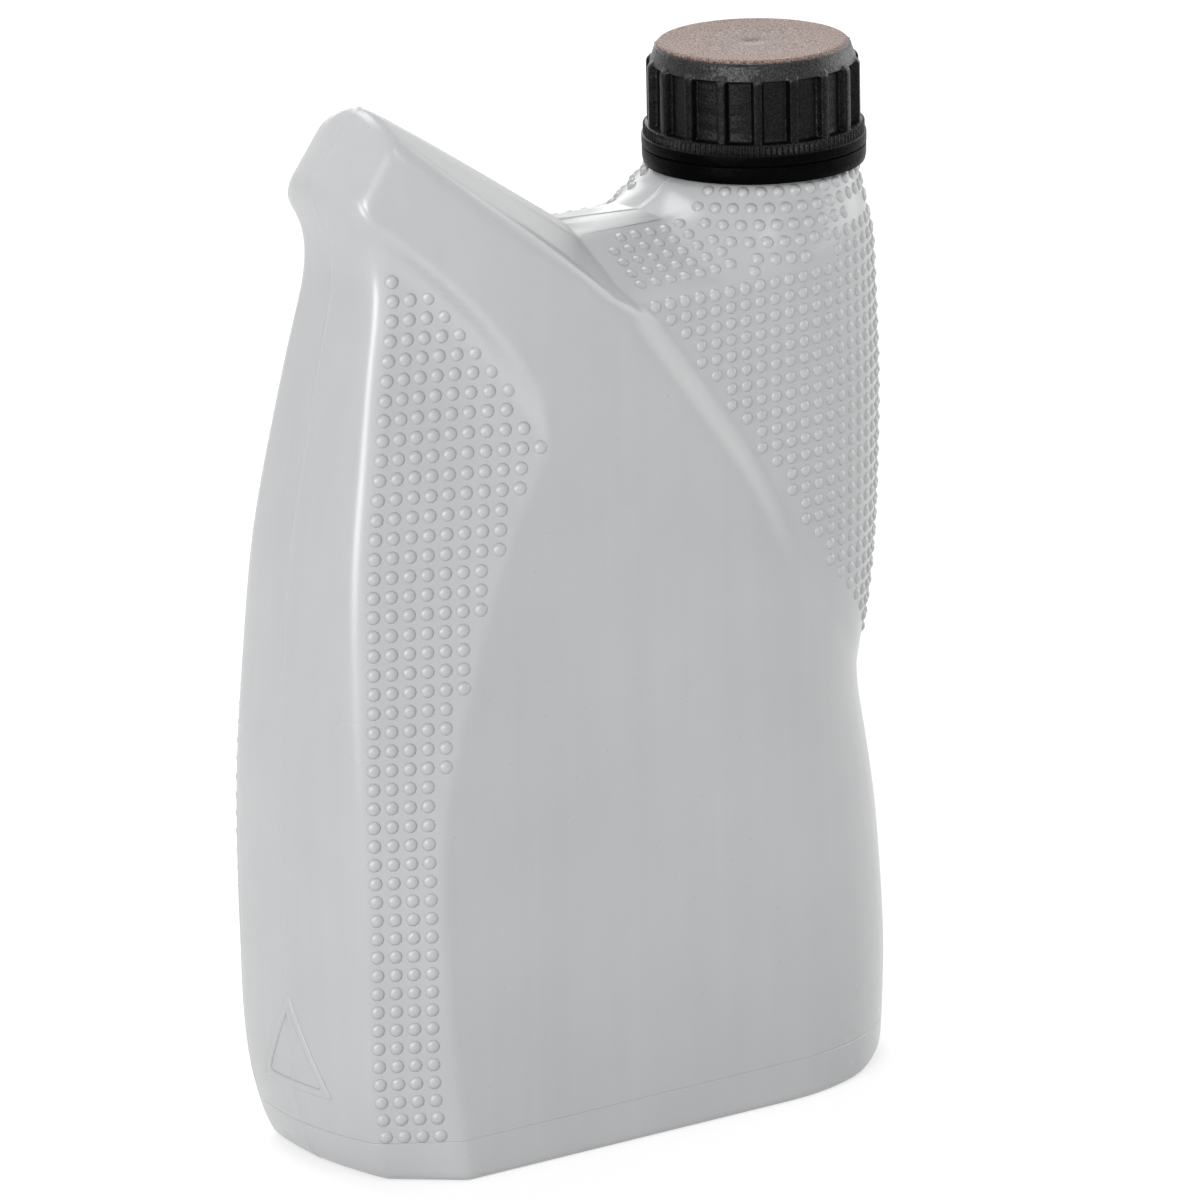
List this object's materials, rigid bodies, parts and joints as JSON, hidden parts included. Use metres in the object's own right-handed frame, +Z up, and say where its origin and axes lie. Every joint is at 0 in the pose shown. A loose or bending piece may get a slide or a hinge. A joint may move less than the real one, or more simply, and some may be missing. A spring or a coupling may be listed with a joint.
{
  "type": "motor oil bottle",
  "caption": "Flat blown oil bottle with a slanting grip nose, dimpled grip faces, raised label panel, offset neck and ribbed screw cap over a tamper ring.",
  "frame": {"origin": "centre of the base at ground level, on the mid-plane, halfway between the narrow side and the cap end", "axes": "+Z up; +X towards the cap, -X towards the grip nose; the label faces look along -Y and +Y"},
  "size_m": [0.1365, 0.0574, 0.2022],
  "materials": {
    "bottle": "satin blow-moulded polyethylene",
    "cap": "fine-grained injection-moulded polyolefin",
    "liner": "foamed polyethylene sheet"
  },
  "bodies": {
    "bottle": {"bottle": "bottle", "tamper_ring": "cap"},
    "liner": {"cap_liner": "liner"},
    "cap": {"cap": "cap"}
  },
  "joints": [
    {"name": "cap_rise", "type": "slide", "parent": "bottle", "child": "liner", "axis": [0, 0, 1], "range_m": [0, 0.0063]},
    {"name": "cap_turn", "type": "hinge", "parent": "liner", "child": "cap", "pos_m": [0.04415, 0, 0.19], "axis": [0, 0, 1], "range_deg": [0, 540]}
  ],
  "couplings": [
    {"joint": "cap_rise", "follows": "cap_turn", "m_per_rad": 0.00066845}
  ]
}
